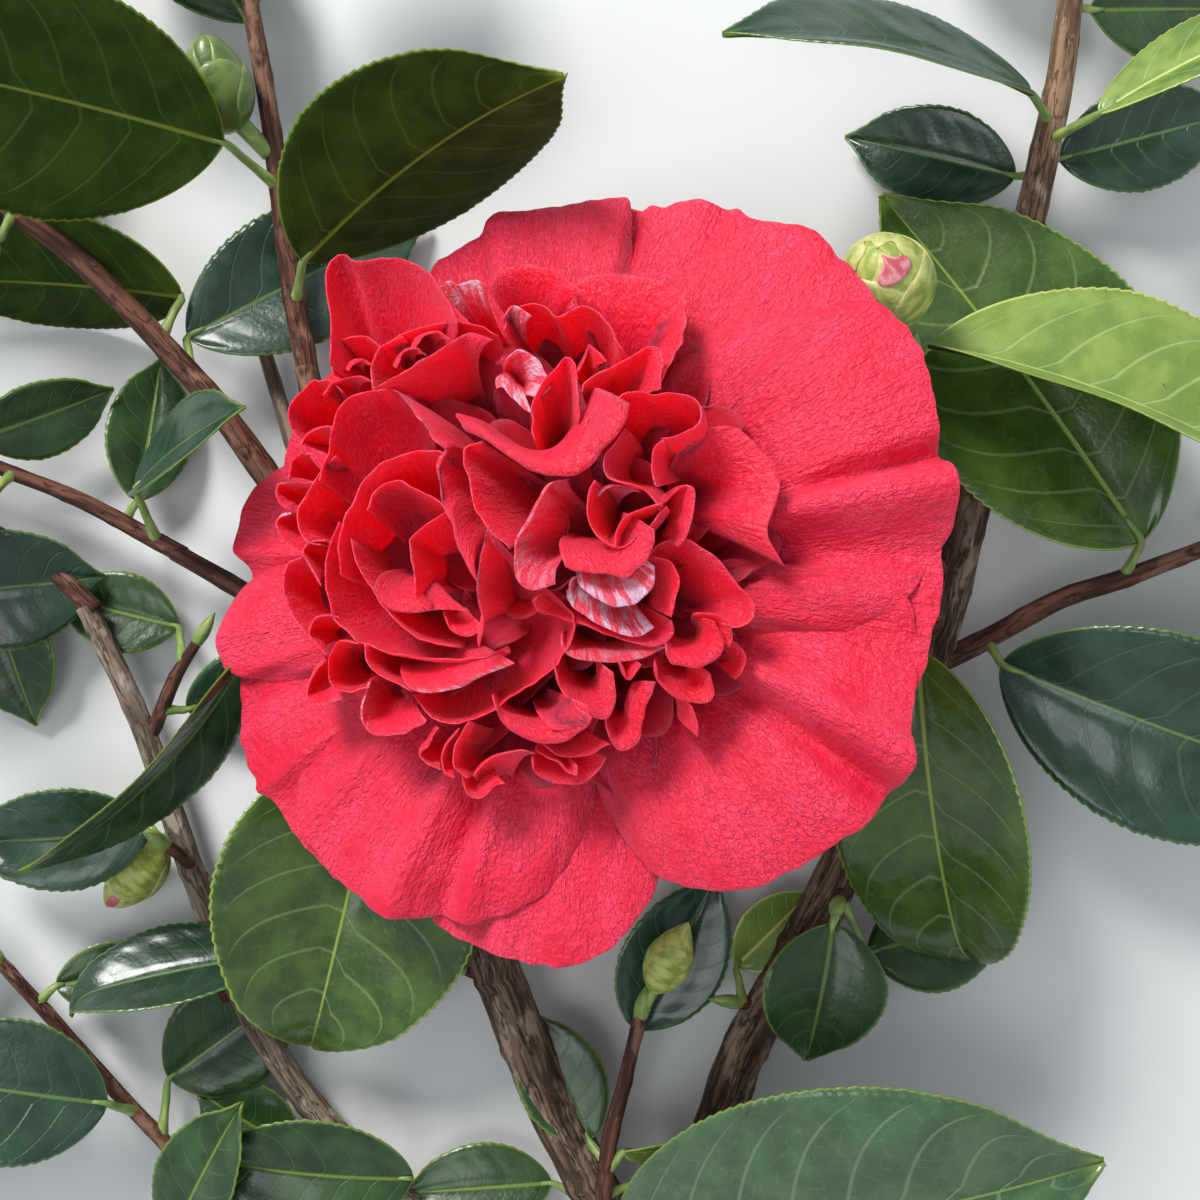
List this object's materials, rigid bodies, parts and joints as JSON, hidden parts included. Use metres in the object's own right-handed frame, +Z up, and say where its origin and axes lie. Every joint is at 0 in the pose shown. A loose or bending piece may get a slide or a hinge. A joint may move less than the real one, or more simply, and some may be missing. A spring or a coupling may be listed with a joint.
{
  "type": "cut camellia branch",
  "caption": "Cut woody flowering branch lying on its back: stems from one cut foot, glossy pointed leaves, buds and a full-centred red bloom facing up.",
  "frame": {"origin": "middle of the branch's outline, on the level surface that it lies on", "axes": "+Z up from that surface, +Y up the branch from its cut foot, +X to the right as the bloom is looked at"},
  "size_m": [0.2746, 0.273, 0.0722],
  "materials": {
    "brown_bark": "ridged matt bark",
    "grey_bark": "smooth greyish bark",
    "twig_bark": "thin reddish brown bark",
    "green_stalk": "soft green wood",
    "petal": "satin petal",
    "bud_scale": "downy green scales",
    "leaf": "glossy leathery leaf"
  },
  "bodies": {
    "root": {"main_stem": "brown_bark", "right_stem": "brown_bark", "left_stem": "grey_bark", "bough_upper_left": "twig_bark", "bough_top": "twig_bark", "twig_left": "twig_bark", "bare_spur": "grey_bark", "bloom_stalk": "green_stalk", "bloom": "petal", "bud_top_left": "bud_scale", "bud_right": "bud_scale", "bud_low_left": "bud_scale", "bud_bottom": "bud_scale", "foliage_top_left": "leaf", "foliage_upper_left": "leaf", "foliage_left": "leaf", "foliage_left_low": "leaf", "foliage_under_bloom": "leaf", "foliage_stem_side": "leaf", "foliage_left_middle": "leaf", "foliage_low_left": "leaf", "foliage_low_middle": "leaf", "foliage_foot_left": "leaf", "foliage_bottom_left": "leaf", "foliage_bottom": "leaf", "foliage_bottom_right": "leaf", "foliage_foot_right": "leaf", "foliage_right_low": "leaf", "foliage_low_right": "leaf", "foliage_under_right": "leaf", "foliage_right": "leaf", "foliage_upper_right": "leaf", "foliage_top_right": "leaf"}
  },
  "joints": []
}
